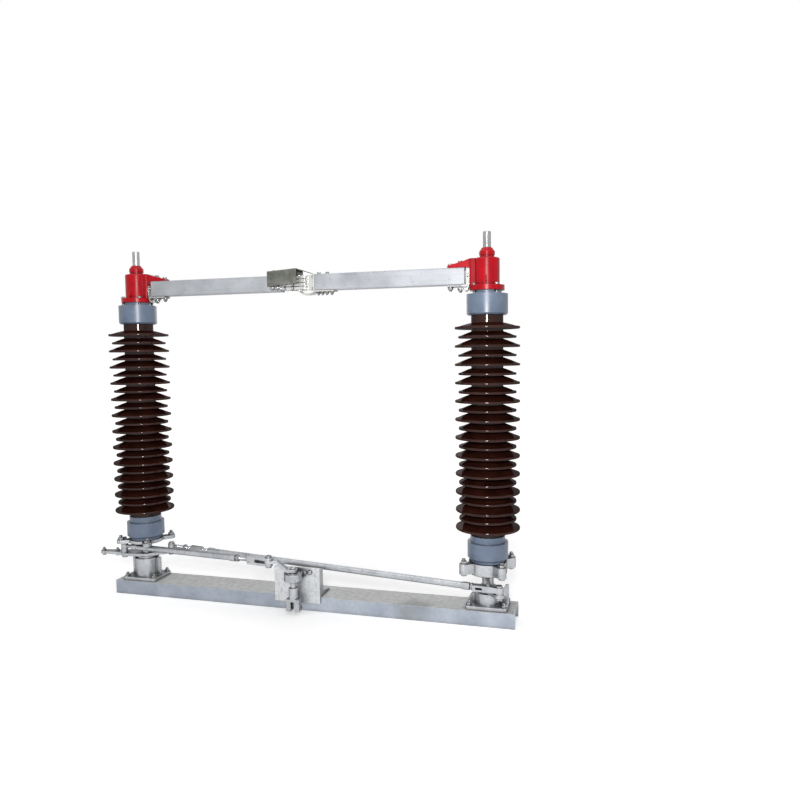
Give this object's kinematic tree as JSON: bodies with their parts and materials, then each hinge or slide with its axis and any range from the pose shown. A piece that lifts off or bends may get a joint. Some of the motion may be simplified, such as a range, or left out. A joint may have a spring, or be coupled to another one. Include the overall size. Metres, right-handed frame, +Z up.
{
  "type": "substation disconnect switch",
  "caption": "Single pole of a centre-break disconnect switch: porcelain columns on a channel base turn together, swinging current arms apart at a finger contact.",
  "frame": {"origin": "on the ground under the middle of the base channel, halfway between the two columns", "axes": "+X along the base from the left column to the right one, +Y to the back, away from the drive shaft, +Z up"},
  "size_m": [1.8499, 0.2833, 1.48],
  "materials": {
    "galvanised_steel": "hot-dip galvanised, dull with a faint spangle",
    "bright_steel": "zinc plated, satin",
    "cap_paint": "blue-grey paint over a casting, semi-gloss",
    "porcelain_glaze": "dark brown glazed porcelain, glossy and opaque",
    "housing_paint": "red paint, semi-gloss",
    "arm_aluminium": "extruded, satin",
    "contact_metal": "silver plated, satin",
    "hood_paint": "dark olive-grey paint, matte"
  },
  "bodies": {
    "base": {"base_channel": "galvanised_steel", "left_bearing_seat": "galvanised_steel", "right_bearing_seat": "galvanised_steel", "drive_bracket": "galvanised_steel", "drive_bearing": "galvanised_steel"},
    "left_column": {"left_spindle": "bright_steel", "left_lever": "galvanised_steel", "left_turntable": "galvanised_steel", "left_lower_cap": "cap_paint", "left_porcelain": "porcelain_glaze", "left_upper_cap": "cap_paint", "left_terminal_housing": "housing_paint", "left_arm": "arm_aluminium", "left_arm_clamp": "bright_steel", "contact_carrier": "contact_metal", "contact_fingers_front": "contact_metal", "contact_fingers_back": "contact_metal", "contact_hood": "hood_paint", "drive_link_pin": "bright_steel", "cross_link_pin": "bright_steel"},
    "right_column": {"right_spindle": "bright_steel", "right_lever": "galvanised_steel", "right_turntable": "galvanised_steel", "right_lower_cap": "cap_paint", "right_porcelain": "porcelain_glaze", "right_upper_cap": "cap_paint", "right_terminal_housing": "housing_paint", "right_arm": "arm_aluminium", "right_arm_clamp": "bright_steel", "contact_head": "contact_metal", "contact_guide": "contact_metal", "cross_link_nut": "bright_steel"},
    "left_terminal": {"left_terminal_stud": "contact_metal"},
    "right_terminal": {"right_terminal_stud": "contact_metal"},
    "drive_shaft": {"drive_shaft": "galvanised_steel", "drive_crank": "galvanised_steel", "drive_coupling": "galvanised_steel", "crank_pin": "bright_steel"},
    "drive_link": {"drive_link_eye": "galvanised_steel", "drive_link_tube": "galvanised_steel", "drive_link_fork": "galvanised_steel"},
    "cross_link": {"cross_link_left_eye": "galvanised_steel", "cross_link_tube": "galvanised_steel", "cross_link_right_eye": "galvanised_steel", "cross_link_bolt": "bright_steel"}
  },
  "joints": [
    {"name": "left_column_turn", "type": "hinge", "parent": "base", "child": "left_column", "pos_m": [-0.755, 0, 0.15], "axis": [0, 0, 1], "range_deg": [0, 90]},
    {"name": "right_column_turn", "type": "hinge", "parent": "base", "child": "right_column", "pos_m": [0.755, 0, 0.11], "axis": [0, 0, -1], "range_deg": [0, 90]},
    {"name": "drive_shaft_turn", "type": "hinge", "parent": "base", "child": "drive_shaft", "pos_m": [-0.005, -0.115, 0.152], "axis": [0, 0, 1], "range_deg": [0, 90]},
    {"name": "drive_link_pivot", "type": "hinge", "parent": "left_column", "child": "drive_link", "pos_m": [-0.84535, -0.02936, 0.1996], "axis": [0, 0, -1], "range_deg": [0, 90]},
    {"name": "cross_link_pivot", "type": "hinge", "parent": "left_column", "child": "cross_link", "pos_m": [-0.66585, 0.05356, 0.1876], "axis": [0, 0, -1], "range_deg": [0, 90]},
    {"name": "left_terminal_swivel", "type": "hinge", "parent": "left_column", "child": "left_terminal", "pos_m": [-0.755, 0, 1.4], "axis": [0, 0, 1], "range_deg": [-90, 90]},
    {"name": "right_terminal_swivel", "type": "hinge", "parent": "right_column", "child": "right_terminal", "pos_m": [0.755, 0, 1.4], "axis": [0, 0, 1], "range_deg": [-90, 90]}
  ],
  "couplings": [
    {"joint": "right_column_turn", "follows": "left_column_turn", "ratio": 1},
    {"joint": "drive_shaft_turn", "follows": "left_column_turn", "ratio": 1},
    {"joint": "drive_link_pivot", "follows": "left_column_turn", "ratio": 1},
    {"joint": "cross_link_pivot", "follows": "left_column_turn", "ratio": 1}
  ]
}
